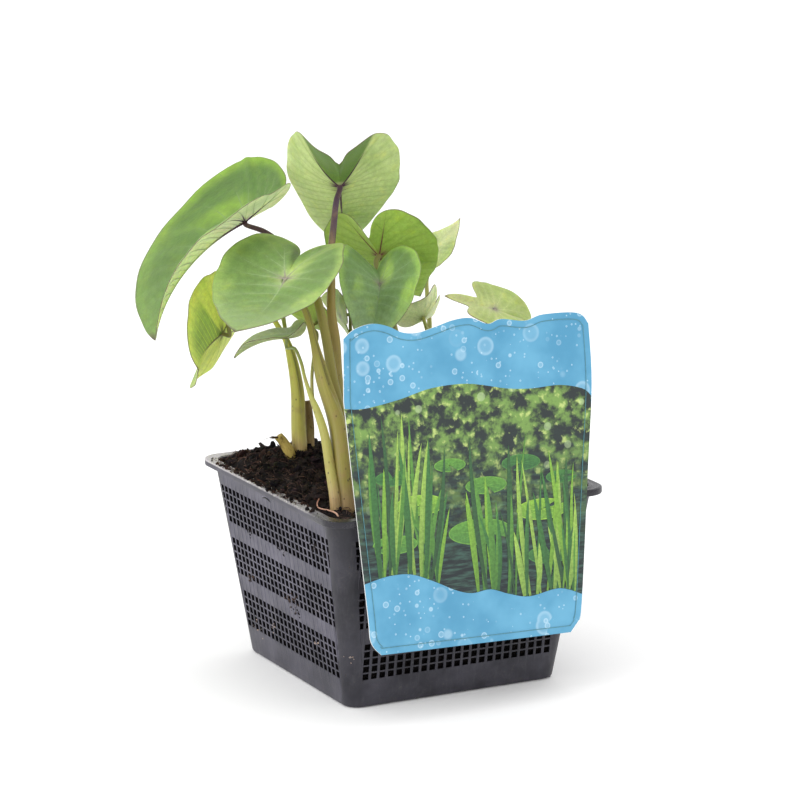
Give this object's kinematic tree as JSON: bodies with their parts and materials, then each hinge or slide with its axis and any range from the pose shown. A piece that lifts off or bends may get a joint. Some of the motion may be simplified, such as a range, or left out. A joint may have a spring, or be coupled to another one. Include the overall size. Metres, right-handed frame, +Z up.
{
  "type": "potted elephant ear plant",
  "caption": "Young aquatic elephant ear plant with heart-shaped leaves on upright stalks, rooted in peat in a tapered square mesh basket with a plain printed card hooked over its rim.",
  "frame": {"origin": "middle of the basket's flat base, on the floor", "axes": "+Z up; -Y out through the basket wall that the card hangs on; +X to the right as seen from the card's side"},
  "size_m": [0.1349, 0.1377, 0.193],
  "materials": {
    "basket": "satin",
    "soil": "matt",
    "card": "satin",
    "leaf_upper": "waxy matt",
    "leaf_bright": "waxy matt",
    "leaf_under": "waxy matt",
    "stalk_green": "satin",
    "stalk_purple": "satin",
    "old_sheath": "matt",
    "cut_stub": "matt",
    "surface_root": "satin"
  },
  "bodies": {
    "root": {"basket": "basket", "soil": "soil", "card": "card", "blade_upper_left": "leaf_upper", "blade_middle_left": "leaf_upper", "blade_top": "leaf_under", "blade_back_right": "leaf_bright", "blade_front_right": "leaf_upper", "blade_low_left": "leaf_bright", "blade_low_right": "leaf_under", "blade_far_right": "leaf_under", "blade_folded_right": "leaf_under", "blade_small_left": "leaf_upper", "blade_small_middle": "leaf_bright", "blade_small_back": "leaf_bright", "stalk_middle_left": "stalk_green", "stalk_upper_left": "stalk_green", "stalk_top": "stalk_purple", "stalk_small_left": "stalk_green", "stalk_small_middle": "stalk_green", "stalk_low_left": "stalk_green", "stalk_small_back": "stalk_green", "stalk_front_right": "stalk_green", "stalk_back_right": "stalk_green", "stalk_far_right": "stalk_green", "stalk_folded_right": "stalk_green", "stalk_low_right": "stalk_green", "rolled_leaf": "stalk_green", "old_sheath": "old_sheath", "cut_stub": "cut_stub", "surface_root": "surface_root"}
  },
  "joints": []
}
